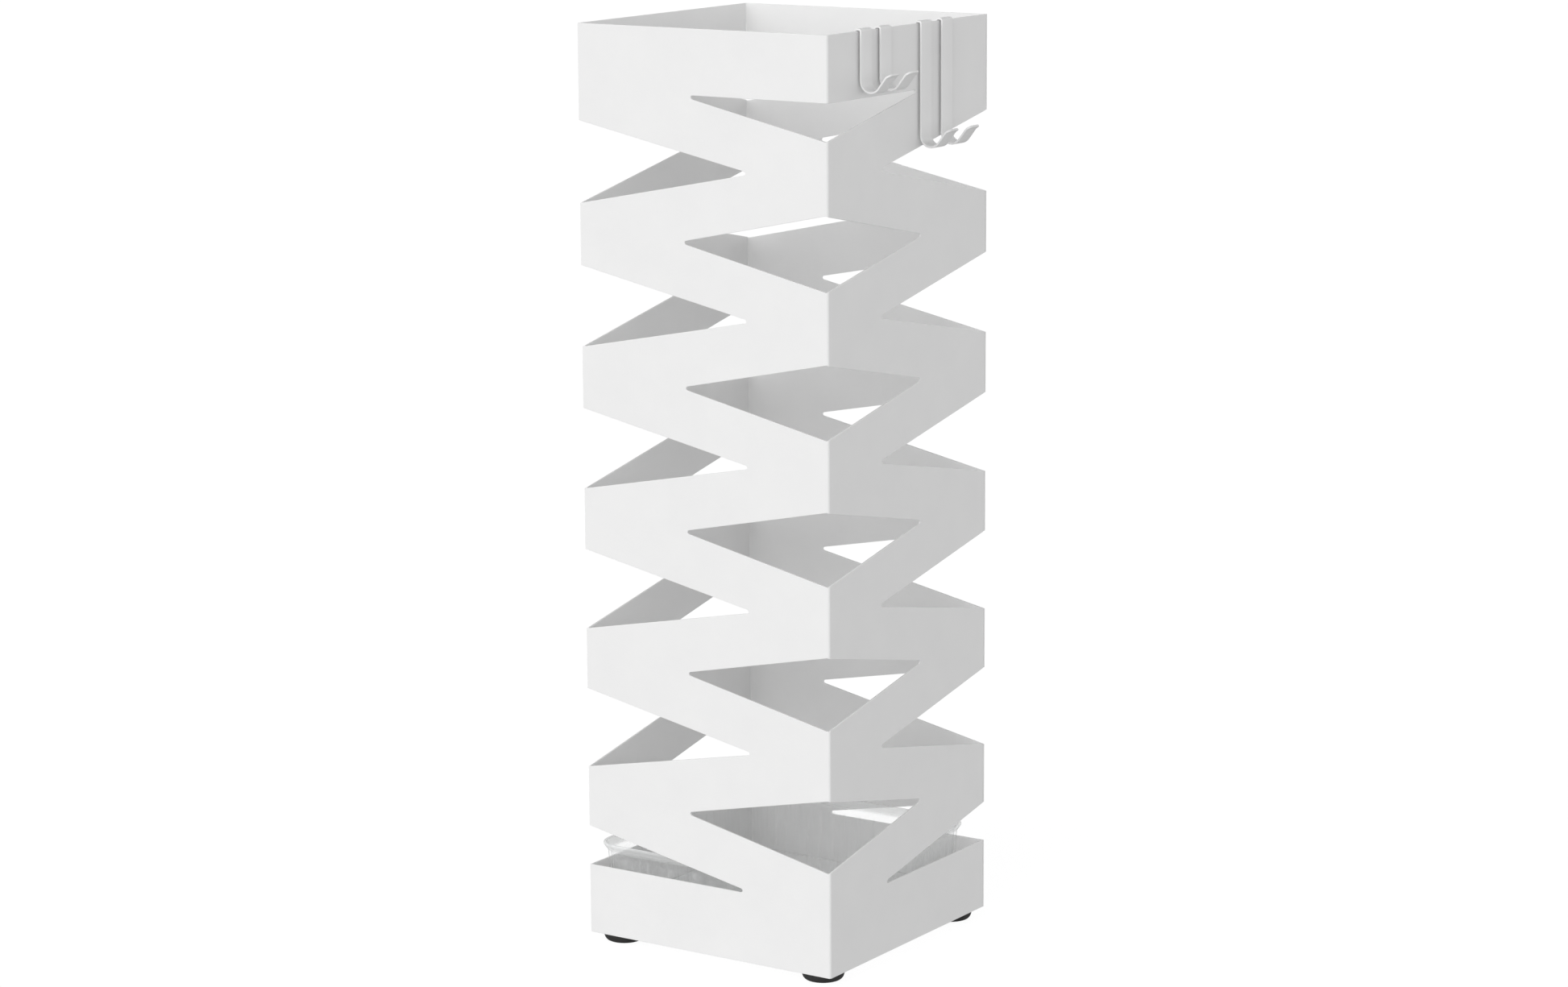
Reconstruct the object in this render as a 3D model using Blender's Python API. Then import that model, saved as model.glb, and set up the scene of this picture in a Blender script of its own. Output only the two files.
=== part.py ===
"""Square umbrella stand: two folded, laser-cut shell halves, a base pan on rubber feet,
a loose drip tray, and strip hooks hung over the rim.

Metres, +Z up. The floor is z = 0 and the front wall faces -Y. The origin is under the middle
of the whole footprint, so the shell sits back by half of what the hooks stand out.
"""

import math

import bmesh
import bpy
from mathutils import Vector

# ---------------------------------------------------------------- driving dimensions
SHELL_WIDTH = 0.153          # outside width of each wall
SHELL_HEIGHT = 0.485         # from the shell's lower edge to its rim
SHELL_BOTTOM = 0.005         # height of the shell's lower edge above the floor
SHEET = 0.001                # thickness of all sheet metal
GAP = 0.0003                 # clearance between pieces that touch
BEND_RADIUS = 0.002          # outside radius of every fold
BEND_STEPS = 6

# Lozenge cut-outs: one column round each folded corner, at whole pitches above the lower edge,
# and one round each seam corner, at half pitches. The top one of the folded corner's column and
# the lowest one of the seam corner's column are half lozenges, which leave plain bands.
PITCH = 0.0752
LOZENGES = 6                 # in a column, with the half one
FOLD_HALF_HEIGHT = 0.0192    # at the folded corner
FOLD_REACH = 0.091           # from the folded corner along each wall
SEAM_HALF_HEIGHT = 0.0214    # at the seam corner
SEAM_REACH = 0.1075
TIP_RADIUS = 0.001
TIP_STEPS = 3

# Base pan
PAN_FLANGE = 0.011           # height of the upturned flanges
PAN_RELIEF = 0.0005          # from the end of a fold to the corner relief
PAN_CORNER_RADIUS = 0.003

# Feet, with their screws and nuts
FOOT_INSET = 0.0130          # foot centre from both outer faces
FOOT_RADIUS = 0.0112
FOOT_CONTACT_RADIUS = 0.0084
FOOT_EDGE = 0.0008           # straight part of the foot's side, under the pan
RECESS_RADIUS = 0.0046
RECESS_DEPTH = 0.0024
SCREW_HOLE_RADIUS = 0.0023
SCREW_RADIUS = 0.002
SCREW_HEAD_RADIUS = 0.004
SCREW_HEAD_HEIGHT = 0.0016
SCREW_LENGTH = 0.0069        # shank, from under the head to its end
NUT_FLAT = 0.0035            # nut axis to a flat
NUT_HEIGHT = 0.0022
ROUND_STEPS = 20
SMALL_STEPS = 12

# Drip tray
TRAY_WIDTH = 0.146           # over the rim
TRAY_CORNER = 0.013
TRAY_TOP = 0.0545            # height of the rim above the floor
TRAY_WALL = 0.0015
TRAY_FLOOR = 0.0018
TRAY_FLOOR_RAISE = 0.004     # floor above the standing ring, over the nuts
TRAY_RING_WIDTH = 0.096
TRAY_RING_CORNER = 0.01
TRAY_STEP_OUT = 0.0023       # how far the rim stands out from the wall
TRAY_RIM_HEIGHT = 0.0045     # flare and upright lip together
TRAY_FLARE_HEIGHT = 0.0033
TRAY_DRAFT = math.radians(3.0)
TRAY_FILLET = 0.004
TRAY_SHIFT = (-0.002, -0.0018)  # the loose tray's middle from the shell's
TRAY_STEPS = 5

# Hooks, on the right-hand wall's rim
HOOK_WIDTH = 0.010
HOOK_STANDOFF = 0.0012       # outer leg from the wall
HOOK_INNER_LEG = 0.020
HOOK_SADDLE_RADIUS = 0.0006  # inside radius of both bends over the rim
HOOK_BOWL_RADIUS = 0.0053    # inside radius of the hook's bowl
HOOK_SLOPE = math.radians(52.0)
HOOK_RISE = 0.0068           # straight part after the bowl
HOOK_LIP_RADIUS = 0.002
HOOK_LIP_TURN = math.radians(22.0)
HOOK_END_RADIUS = 0.0025
HOOK_DROPS = {"short": 0.031, "long": 0.0635}   # rim to the lowest point
HOOK_PLACES = {                                 # middle of each hook along the wall
    "short": (-0.0439, -0.0256),
    "long": (0.0129, 0.0332),
}
BOWL_STEP = math.radians(15.0)

SHELL_HALF = SHELL_WIDTH / 2
TRAY_FLARE_TILT = math.atan(TRAY_STEP_OUT / TRAY_FLARE_HEIGHT)
PAN_HALF = SHELL_HALF - SHEET - GAP
PAN_TOP = SHELL_BOTTOM + SHEET
FOOT_OFFSET = SHELL_HALF - FOOT_INSET
CORNERS = {"front": (1, -1), "right": (1, 1), "back": (-1, 1), "left": (-1, -1)}

# name: (red, green, blue, alpha), roughness, metallic
MATERIALS = {
    "shell_paint": ((0.86, 0.86, 0.86, 1.0), 0.45, 0.0),
    "pan_paint": ((0.84, 0.84, 0.84, 1.0), 0.5, 0.0),
    "hook_paint": ((0.86, 0.86, 0.86, 1.0), 0.4, 0.0),
    "tray_plastic": ((0.92, 0.95, 0.95, 0.3), 0.08, 0.0),
    "foot_rubber": ((0.02, 0.02, 0.02, 1.0), 0.8, 0.0),
    "screw_zinc": ((0.62, 0.62, 0.6, 1.0), 0.35, 1.0),
    "nut_zinc": ((0.6, 0.6, 0.58, 1.0), 0.4, 1.0),
}


# ---------------------------------------------------------------- helpers
def clear_scene():
    """Start from an empty scene."""
    for old in list(bpy.data.objects):
        bpy.data.objects.remove(old, do_unlink=True)


def make_material(name):
    """Return the named Principled material."""
    colour, roughness, metallic = MATERIALS[name]
    material = bpy.data.materials.new(name)
    material.use_nodes = True
    shader = material.node_tree.nodes["Principled BSDF"]
    shader.inputs["Base Color"].default_value = colour
    shader.inputs["Alpha"].default_value = colour[3]
    shader.inputs["Roughness"].default_value = roughness
    shader.inputs["Metallic"].default_value = metallic
    material.diffuse_color = colour
    return material


def mesh_from_bmesh(bm, name, smooth_angle=None):
    """Turn a bmesh into a mesh whose faces point outwards."""
    bmesh.ops.recalc_face_normals(bm, faces=bm.faces[:])
    mesh = bpy.data.meshes.new(name)
    bm.to_mesh(mesh)
    bm.free()
    if smooth_angle is not None:
        mesh.shade_smooth()
        mesh.set_sharp_from_angle(angle=smooth_angle)
    return mesh


def place(name, mesh, parent, location, turn=0.0):
    """Add one named sub-part under the stand's frame."""
    part = bpy.data.objects.new(name, mesh)
    bpy.context.scene.collection.objects.link(part)
    part.parent = parent
    part.location = location
    part.rotation_euler = (0.0, 0.0, turn)
    return part


def arc(centre, radius, start, end, steps):
    """Points on an arc, both ends included."""
    points = []
    for step in range(steps + 1):
        angle = start + (end - start) * step / steps
        points.append(centre + radius * Vector((math.cos(angle), math.sin(angle))))
    return points


def rounded_outline(corners, steps=TIP_STEPS):
    """Closed outline from (x, y, radius) corners, each rounded to its radius."""
    points = []
    count = len(corners)
    for index, (x, y, radius) in enumerate(corners):
        corner = Vector((x, y))
        if radius == 0.0:
            points.append(corner)
            continue
        before = Vector(corners[index - 1][:2]) - corner
        after = Vector(corners[(index + 1) % count][:2]) - corner
        half_angle = before.angle(after) / 2
        towards_centre = (before.normalized() + after.normalized()).normalized()
        centre = corner + towards_centre * radius / math.sin(half_angle)
        first = corner + before.normalized() * radius / math.tan(half_angle) - centre
        turn = first.angle_signed(corner + after.normalized() * radius / math.tan(half_angle) - centre)
        start = math.atan2(first.y, first.x)
        points += arc(centre, radius, start, start - turn, steps)
    return points


def add_loop(bm, points):
    """Add a closed loop of edges in the sheet's own plane."""
    verts = [bm.verts.new((point.x, point.y, 0.0)) for point in points]
    for index, vert in enumerate(verts):
        bm.edges.new((verts[index - 1], vert))


def flat_sheet(outlines, fold_lines):
    """Cut a sheet from its outlines, with extra edges along the fold lines.

    The outside face lies at z = 0 and the inside face at z = SHEET. Each fold line is
    (axis, position), and its extra edges let the sheet bend there.
    """
    bm = bmesh.new()
    for outline in outlines:
        add_loop(bm, outline)
    bmesh.ops.triangle_fill(bm, edges=bm.edges[:], use_beauty=True, use_dissolve=False)
    for axis, position in fold_lines:
        normal = Vector((0.0, 0.0, 0.0))
        normal[axis] = 1.0
        bmesh.ops.bisect_plane(
            bm,
            geom=bm.verts[:] + bm.edges[:] + bm.faces[:],
            dist=1e-7,
            plane_co=normal * position,
            plane_no=normal,
        )
    bmesh.ops.triangulate(bm, faces=bm.faces[:])
    outside = bm.faces[:]
    extruded = bmesh.ops.extrude_face_region(bm, geom=outside)
    for item in extruded["geom"]:
        if isinstance(item, bmesh.types.BMVert):
            item.co.z += SHEET
    return bm


def bend_positions(corner):
    """Positions across one fold whose outer faces would meet at the given corner."""
    return [corner - BEND_RADIUS + 2 * BEND_RADIUS * step / BEND_STEPS for step in range(BEND_STEPS + 1)]


def fold(along, depth, corner):
    """Fold the flat position 'along' at a corner.

    Returns (distance along the first wall, distance up the second wall) of a point that lies
    'depth' inside the sheet. Both walls' outer faces would meet at 'corner'.
    """
    overshoot = along - corner
    if overshoot <= -BEND_RADIUS:
        return along, depth
    if overshoot >= BEND_RADIUS:
        return corner - depth, overshoot
    angle = (overshoot + BEND_RADIUS) / (2 * BEND_RADIUS) * math.pi / 2
    radius = BEND_RADIUS - depth
    return corner - BEND_RADIUS + radius * math.sin(angle), BEND_RADIUS - radius * math.cos(angle)


def circle(radius, steps, height):
    """Ring of points around the Z axis."""
    ring = []
    for step in range(steps):
        angle = 2 * math.pi * step / steps
        ring.append(Vector((radius * math.cos(angle), radius * math.sin(angle), height)))
    return ring


def hexagon(flat, steps, height):
    """Ring of points on a hexagon, 'flat' from its middle to each side."""
    ring = []
    for step in range(steps):
        angle = 2 * math.pi * step / steps
        from_flat = (angle + math.pi / 6) % (math.pi / 3) - math.pi / 6
        radius = flat / math.cos(from_flat)
        ring.append(Vector((radius * math.cos(angle), radius * math.sin(angle), height)))
    return ring


def rounded_square(half, corner, height):
    """Ring of points on a square with round corners."""
    ring = []
    for quarter in range(4):
        start = quarter * math.pi / 2
        sign_x = (1, -1, -1, 1)[quarter]
        sign_y = (1, 1, -1, -1)[quarter]
        centre = Vector((sign_x * (half - corner), sign_y * (half - corner)))
        for point in arc(centre, corner, start, start + math.pi / 2, TRAY_STEPS):
            ring.append(Vector((point.x, point.y, height)))
    return ring


def loft(rings, closed=False):
    """Join rings of equal length; a closed loft joins the last to the first, others get end caps."""
    bm = bmesh.new()
    levels = [[bm.verts.new(point) for point in ring] for ring in rings]
    pairs = list(zip(levels, levels[1:]))
    if closed:
        pairs.append((levels[-1], levels[0]))
    else:
        bm.faces.new(levels[0])
        bm.faces.new(levels[-1])
    for lower, upper in pairs:
        for index in range(len(lower)):
            bm.faces.new((lower[index - 1], lower[index], upper[index], upper[index - 1]))
    return bm


# ---------------------------------------------------------------- shell
def fold_lozenges():
    """Cut-outs round the folded corner, whose pattern position is 0.

    Their points lie where the fold starts. The top one is the lower half only.
    """
    outlines = []
    middle = -BEND_RADIUS
    for number in range(1, LOZENGES + 1):
        height = PITCH * number
        corners = [
            (-FOLD_REACH, height, TIP_RADIUS),
            (middle, height - FOLD_HALF_HEIGHT, 0.0),
            (FOLD_REACH, height, TIP_RADIUS),
        ]
        if number < LOZENGES:
            corners.append((middle, height + FOLD_HALF_HEIGHT, 0.0))
        outlines.append(rounded_outline(corners))
    return outlines


def seam_notches(edge, corner, inward):
    """Outline corners of the notches along one free edge, from the foot upwards.

    'edge' is the sheet's free edge and 'corner' the shell's seam corner in the pattern;
    'inward' is +1 or -1, the way from the corner into the wall. The lowest notch is the
    upper half only.
    """
    slope = SEAM_HALF_HEIGHT / SEAM_REACH
    half_height = SEAM_HALF_HEIGHT - slope * abs(edge - corner)
    tip = corner + inward * SEAM_REACH
    corners = []
    for number in range(LOZENGES):
        height = PITCH * (number + 0.5)
        lower = height if number == 0 else height - half_height
        corners.append((edge, lower, 0.0))
        corners.append((tip, height, TIP_RADIUS))
        corners.append((edge, height + half_height, 0.0))
    return corners


def shell_half_mesh():
    """One half of the shell: the front wall and the right-hand wall, folded where they meet.

    The front wall runs through to the seam corner. The right-hand wall stops short of the
    other half's wall, inside it.
    """
    left_edge = -SHELL_WIDTH
    right_edge = SHELL_WIDTH - SHEET - GAP
    left = seam_notches(left_edge, -SHELL_WIDTH, 1)
    right = seam_notches(right_edge, SHELL_WIDTH, -1)
    border = [(left_edge, 0.0, 0.0), (right_edge, 0.0, 0.0)]
    border += right
    border += [(right_edge, SHELL_HEIGHT, 0.0), (left_edge, SHELL_HEIGHT, 0.0)]
    border += left[::-1]
    outlines = [rounded_outline(border)] + fold_lozenges()
    bm = flat_sheet(outlines, [(0, position) for position in bend_positions(0.0)])
    for vert in bm.verts:
        along, height, depth = vert.co
        across, into = fold(along, depth, 0.0)
        vert.co = (SHELL_HALF + across, into - SHELL_HALF, height)
    return mesh_from_bmesh(bm, "shell_half", math.radians(30.0))


def add_shell(parent):
    """The two halves are alike; the back one is turned half a turn."""
    mesh = shell_half_mesh()
    mesh.materials.append(make_material("shell_paint"))
    place("shell_front", mesh, parent, (0.0, 0.0, SHELL_BOTTOM))
    place("shell_back", mesh, parent, (0.0, 0.0, SHELL_BOTTOM), math.pi)


# ---------------------------------------------------------------- base pan
def pan_outline():
    """Flat cross of the pan: the floor and four flanges, with the corners cut away."""
    inner = PAN_HALF - BEND_RADIUS - PAN_RELIEF
    outer = PAN_HALF + PAN_FLANGE
    arm = [(inner, -inner, 0.0), (outer, -inner, PAN_CORNER_RADIUS), (outer, inner, PAN_CORNER_RADIUS)]
    corners = []
    for quarter in range(4):
        cosine = (1, 0, -1, 0)[quarter]
        sine = (0, 1, 0, -1)[quarter]
        for x, y, radius in arm:
            corners.append((x * cosine - y * sine, x * sine + y * cosine, radius))
    return rounded_outline(corners)


def screw_holes():
    """Hole outlines for the foot screws."""
    holes = []
    for sign_x, sign_y in CORNERS.values():
        centre = Vector((sign_x * FOOT_OFFSET, sign_y * FOOT_OFFSET))
        ring = circle(SCREW_HOLE_RADIUS, SMALL_STEPS, 0.0)
        holes.append([centre + point.xy for point in ring])
    return holes


def add_pan(parent):
    """Base pan, folded up on all four sides; it fits inside the shell with a small gap."""
    lines = []
    for axis in (0, 1):
        for position in bend_positions(PAN_HALF):
            lines += [(axis, position), (axis, -position)]
    bm = flat_sheet([pan_outline()] + screw_holes(), lines)
    flat_limit = PAN_HALF - BEND_RADIUS
    for vert in bm.verts:
        depth = vert.co.z
        for axis in (0, 1):
            along = vert.co[axis]
            if abs(along) > flat_limit:
                across, up = fold(abs(along), depth, PAN_HALF)
                vert.co[axis] = math.copysign(across, along)
                vert.co.z = up
    mesh = mesh_from_bmesh(bm, "base_pan", math.radians(30.0))
    mesh.materials.append(make_material("pan_paint"))
    place("base_pan", mesh, parent, (0.0, 0.0, SHELL_BOTTOM))


# ---------------------------------------------------------------- feet
def foot_mesh():
    """Domed rubber foot, widest under the pan, with a recess for the screw head."""
    top = SHELL_BOTTOM - GAP
    dome_height = top - FOOT_EDGE
    dome_depth = FOOT_RADIUS - FOOT_CONTACT_RADIUS
    rings = [
        circle(SCREW_HOLE_RADIUS, ROUND_STEPS, top),
        circle(SCREW_HOLE_RADIUS, ROUND_STEPS, RECESS_DEPTH),
        circle(RECESS_RADIUS, ROUND_STEPS, RECESS_DEPTH),
        circle(RECESS_RADIUS, ROUND_STEPS, 0.0),
    ]
    dome_steps = 4
    for step in range(dome_steps + 1):
        angle = step / dome_steps * math.pi / 2
        radius = FOOT_CONTACT_RADIUS + dome_depth * math.sin(angle)
        rings.append(circle(radius, ROUND_STEPS, dome_height * (1 - math.cos(angle))))
    rings.append(circle(FOOT_RADIUS, ROUND_STEPS, top))
    return mesh_from_bmesh(loft(rings, closed=True), "foot", math.radians(35.0))


def screw_mesh():
    """Pan-head screw standing on its head, with the head's lower edge rounded."""
    edge = SCREW_HEAD_HEIGHT * 0.4
    rings = [
        circle(SCREW_HEAD_RADIUS - edge, SMALL_STEPS, 0.0),
        circle(SCREW_HEAD_RADIUS - edge * 0.3, SMALL_STEPS, edge * 0.3),
        circle(SCREW_HEAD_RADIUS, SMALL_STEPS, edge),
        circle(SCREW_HEAD_RADIUS, SMALL_STEPS, SCREW_HEAD_HEIGHT),
        circle(SCREW_RADIUS, SMALL_STEPS, SCREW_HEAD_HEIGHT),
        circle(SCREW_RADIUS, SMALL_STEPS, SCREW_HEAD_HEIGHT + SCREW_LENGTH),
    ]
    return mesh_from_bmesh(loft(rings), "foot_screw", math.radians(35.0))


def nut_mesh():
    """Thin hexagon nut with a plain hole."""
    rings = [
        hexagon(NUT_FLAT, SMALL_STEPS, 0.0),
        hexagon(NUT_FLAT, SMALL_STEPS, NUT_HEIGHT),
        circle(SCREW_HOLE_RADIUS, SMALL_STEPS, NUT_HEIGHT),
        circle(SCREW_HOLE_RADIUS, SMALL_STEPS, 0.0),
    ]
    return mesh_from_bmesh(loft(rings, closed=True), "foot_nut", math.radians(35.0))


def add_feet(parent):
    """A foot, a screw and a nut near each corner of the pan."""
    foot = foot_mesh()
    screw = screw_mesh()
    nut = nut_mesh()
    foot.materials.append(make_material("foot_rubber"))
    screw.materials.append(make_material("screw_zinc"))
    nut.materials.append(make_material("nut_zinc"))
    screw_bottom = RECESS_DEPTH - GAP - SCREW_HEAD_HEIGHT
    for corner, (sign_x, sign_y) in CORNERS.items():
        x = sign_x * FOOT_OFFSET
        y = sign_y * FOOT_OFFSET
        place(f"foot_{corner}", foot, parent, (x, y, 0.0))
        place(f"foot_screw_{corner}", screw, parent, (x, y, screw_bottom))
        place(f"foot_nut_{corner}", nut, parent, (x, y, PAN_TOP + GAP))


# ---------------------------------------------------------------- drip tray
def tray_fillet(half, bottom, radius):
    """(half width, height) steps round the tray's lower edge, from the floor out to the wall."""
    steps = []
    fillet_steps = 3
    for step in range(fillet_steps + 1):
        angle = step / fillet_steps * math.pi / 2
        steps.append((half - radius + radius * math.sin(angle), bottom + radius * (1 - math.cos(angle))))
    return steps


def add_tray(parent):
    """Loose clear tray: a standing ring, a raised floor, drafted walls and a flared rim."""
    bottom = PAN_TOP + GAP
    top = TRAY_TOP - bottom
    half = TRAY_WIDTH / 2
    shoulder = top - TRAY_RIM_HEIGHT
    wall_half = half - TRAY_STEP_OUT
    foot_half = wall_half - (shoulder - TRAY_FLOOR_RAISE) * math.tan(TRAY_DRAFT)
    ring_half = TRAY_RING_WIDTH / 2
    ring_inner = TRAY_RING_CORNER - TRAY_WALL
    floor_top = TRAY_FLOOR_RAISE + TRAY_FLOOR
    rings = [
        rounded_square(ring_half - TRAY_WALL, ring_inner, TRAY_FLOOR_RAISE),
        rounded_square(ring_half - TRAY_WALL, ring_inner, 0.0),
        rounded_square(ring_half, TRAY_RING_CORNER, 0.0),
        rounded_square(ring_half, TRAY_RING_CORNER, TRAY_FLOOR_RAISE),
    ]
    outside = tray_fillet(foot_half, TRAY_FLOOR_RAISE, TRAY_FILLET)
    outside += [(wall_half, shoulder), (half, shoulder + TRAY_FLARE_HEIGHT), (half, top)]
    inner_radius = TRAY_FILLET - TRAY_WALL
    inside = tray_fillet(foot_half - TRAY_WALL, floor_top, inner_radius)
    inner_shoulder = shoulder + TRAY_WALL * math.tan(TRAY_FLARE_TILT / 2)
    inside += [(wall_half - TRAY_WALL, inner_shoulder)]
    inside += [(half - TRAY_WALL, inner_shoulder + TRAY_FLARE_HEIGHT), (half - TRAY_WALL, top)]
    for width, height in outside + inside[::-1]:
        rings.append(rounded_square(width, TRAY_CORNER - (half - width), height))
    mesh = mesh_from_bmesh(loft(rings), "drip_tray", math.radians(40.0))
    mesh.materials.append(make_material("tray_plastic"))
    place("drip_tray", mesh, parent, (TRAY_SHIFT[0], TRAY_SHIFT[1], bottom))


# ---------------------------------------------------------------- hooks
def walk(start, heading, moves):
    """Centre line from (length, turn) moves: a straight move turns 0, an arc turns left if positive.

    Returns (point, heading) stations. An arc's length is measured on the centre line.
    """
    point = Vector(start)
    stations = [(point.copy(), heading)]
    for length, turn in moves:
        steps = max(1, math.ceil(abs(turn) / BOWL_STEP - 1e-6))
        chord = length / steps
        if turn:
            chord *= math.sin(turn / steps / 2) / (turn / steps / 2)
        for _ in range(steps):
            heading += turn / steps / 2
            point = point + chord * Vector((math.cos(heading), math.sin(heading)))
            heading += turn / steps / 2
            stations.append((point.copy(), heading))
    return stations


def hook_stations(drop):
    """Centre line of a hook in its own X-Z plane: x = 0 is the wall's outer face, z = 0 the rim.

    It runs up the inner leg, over the rim, down the outer leg, round the bowl and out to the lip.
    """
    half_sheet = SHEET / 2
    saddle_radius = HOOK_SADDLE_RADIUS + half_sheet
    bowl_radius = HOOK_BOWL_RADIUS + half_sheet
    lip_radius = HOOK_LIP_RADIUS + half_sheet
    inner_x = -SHEET - GAP - half_sheet
    outer_x = HOOK_STANDOFF + half_sheet
    bend_height = GAP - HOOK_SADDLE_RADIUS
    bowl_height = bowl_radius + half_sheet - drop
    quarter = math.pi / 2
    moves = [
        (HOOK_END_RADIUS, 0.0),
        (bend_height + HOOK_INNER_LEG - HOOK_END_RADIUS, 0.0),
        (saddle_radius * quarter, -quarter),
        (outer_x - inner_x - 2 * saddle_radius, 0.0),
        (saddle_radius * quarter, -quarter),
        (bend_height - bowl_height, 0.0),
        (bowl_radius * (quarter + HOOK_SLOPE), quarter + HOOK_SLOPE),
        (HOOK_RISE, 0.0),
        (lip_radius * HOOK_LIP_TURN, -HOOK_LIP_TURN),
    ]
    return walk((inner_x, -HOOK_INNER_LEG), quarter, moves)


def travelled(stations):
    """Distance walked at each station."""
    distances = [0.0]
    for (before, _), (after, _) in zip(stations, stations[1:]):
        distances.append(distances[-1] + (after - before).length)
    return distances


def with_rounded_ends(stations):
    """Add stations close to both ends, so that the strip's ends can be rounded."""
    fractions = (0.05, 0.3, 0.65)
    first, start_heading = stations[0]
    last, end_heading = stations[-1]
    start_way = Vector((math.cos(start_heading), math.sin(start_heading)))
    end_way = Vector((math.cos(end_heading), math.sin(end_heading)))
    opening = [(first + start_way * HOOK_END_RADIUS * part, start_heading) for part in fractions]
    closing = [(last + end_way * HOOK_END_RADIUS * part, end_heading) for part in fractions + (1.0,)]
    return [stations[0]] + opening + stations[1:] + closing


def hook_mesh(kind):
    """Flat strip bent along the hook's centre line, with rounded free ends."""
    stations = with_rounded_ends(hook_stations(HOOK_DROPS[kind]))
    distances = travelled(stations)
    rings = []
    for (point, heading), distance in zip(stations, distances):
        from_end = min(distance, distances[-1] - distance, HOOK_END_RADIUS)
        shortfall = HOOK_END_RADIUS - from_end
        trim = HOOK_END_RADIUS - math.sqrt(HOOK_END_RADIUS ** 2 - shortfall ** 2)
        half_width = HOOK_WIDTH / 2 - trim
        normal = Vector((-math.sin(heading), math.cos(heading))) * SHEET / 2
        ring = []
        for side, across in ((1, -1), (1, 1), (-1, 1), (-1, -1)):
            edge = point + normal * side
            ring.append(Vector((edge.x, across * half_width, edge.y)))
        rings.append(ring)
    return mesh_from_bmesh(loft(rings), f"hook_{kind}", math.radians(30.0))


def hook_reach(kind):
    """How far the hook's lip stands out from the wall's outer face."""
    mesh = hook_mesh(kind)
    reach = max(vert.co.x for vert in mesh.vertices)
    bpy.data.meshes.remove(mesh)
    return reach


def add_hooks(parent):
    """Two short and two long hooks over the right-hand wall's rim."""
    material = make_material("hook_paint")
    for kind, places in HOOK_PLACES.items():
        mesh = hook_mesh(kind)
        mesh.materials.append(material)
        for number, y in enumerate(places, start=1):
            place(f"hook_{kind}_{number}", mesh, parent, (SHELL_HALF, y, SHELL_BOTTOM + SHELL_HEIGHT))


def main():
    clear_scene()
    frame = bpy.data.objects.new("stand_frame", None)
    bpy.context.scene.collection.objects.link(frame)
    frame.location.x = -hook_reach("short") / 2
    add_shell(frame)
    add_pan(frame)
    add_feet(frame)
    add_tray(frame)
    add_hooks(frame)
    bpy.context.view_layer.update()


main()
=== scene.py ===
"""Looks of a square umbrella stand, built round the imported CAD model.

Metres, +Z up, in the model's own frame: the front wall faces -Y and the hooks hang on the wall
that faces +X. Each piece takes its place from the CAD model's boxes. Its form follows the CAD
part's own dimensions, which are repeated below, with finer edges, folds and details.
"""

import math

import bmesh
import bpy
from mathutils import Matrix, Vector


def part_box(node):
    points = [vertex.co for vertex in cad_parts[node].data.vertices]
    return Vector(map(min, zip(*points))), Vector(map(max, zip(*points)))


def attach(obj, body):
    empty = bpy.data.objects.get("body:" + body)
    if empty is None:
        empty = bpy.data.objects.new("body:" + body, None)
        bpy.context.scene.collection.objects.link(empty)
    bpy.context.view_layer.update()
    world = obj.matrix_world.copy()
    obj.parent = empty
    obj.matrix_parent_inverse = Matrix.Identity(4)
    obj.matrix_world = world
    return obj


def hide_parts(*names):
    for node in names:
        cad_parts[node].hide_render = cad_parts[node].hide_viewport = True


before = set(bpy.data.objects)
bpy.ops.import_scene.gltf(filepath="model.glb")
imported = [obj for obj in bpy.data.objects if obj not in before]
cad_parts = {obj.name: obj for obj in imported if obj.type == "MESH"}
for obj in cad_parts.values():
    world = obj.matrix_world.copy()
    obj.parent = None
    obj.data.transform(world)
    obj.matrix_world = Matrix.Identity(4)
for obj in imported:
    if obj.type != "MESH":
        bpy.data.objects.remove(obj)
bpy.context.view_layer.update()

# ---------------------------------------------------------------- dimensions of the CAD part
SHEET = 0.001                # thickness of all sheet metal
GAP = 0.0003                 # clearance between pieces that touch
PITCH = 0.0752               # of the lozenge cut-outs in a column
LOZENGES = 6                 # in a column, with the half one
FOLD_HALF_HEIGHT = 0.0192    # of the cut-outs at a folded corner
FOLD_REACH = 0.091
SEAM_HALF_HEIGHT = 0.0214    # of the cut-outs at a seam corner
SEAM_REACH = 0.1075
TIP_RADIUS = 0.001
PAN_FLANGE = 0.011
PAN_RELIEF = 0.0005
PAN_CORNER_RADIUS = 0.003
FOOT_CONTACT_RADIUS = 0.0084
FOOT_EDGE = 0.0008
RECESS_RADIUS = 0.0046
RECESS_DEPTH = 0.0024
SCREW_HOLE_RADIUS = 0.0023
SCREW_RADIUS = 0.002
SCREW_HEAD_RADIUS = 0.004
SCREW_HEAD_HEIGHT = 0.0016
NUT_FLAT = 0.0035
TRAY_CORNER = 0.013
TRAY_WALL = 0.0015
TRAY_FLOOR = 0.0018
TRAY_FLOOR_RAISE = 0.004
TRAY_RING_WIDTH = 0.096
TRAY_RING_CORNER = 0.01
TRAY_STEP_OUT = 0.0023
TRAY_RIM_HEIGHT = 0.0045
TRAY_FLARE_HEIGHT = 0.0033
TRAY_DRAFT = math.radians(3.0)
TRAY_FILLET = 0.004
HOOK_STANDOFF = 0.0012
HOOK_INNER_LEG = 0.020
HOOK_SADDLE_RADIUS = 0.0006
HOOK_BOWL_RADIUS = 0.0053
HOOK_SLOPE = math.radians(52.0)
HOOK_RISE = 0.0068
HOOK_LIP_RADIUS = 0.002
HOOK_LIP_TURN = math.radians(22.0)
HOOK_END_RADIUS = 0.0025

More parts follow.
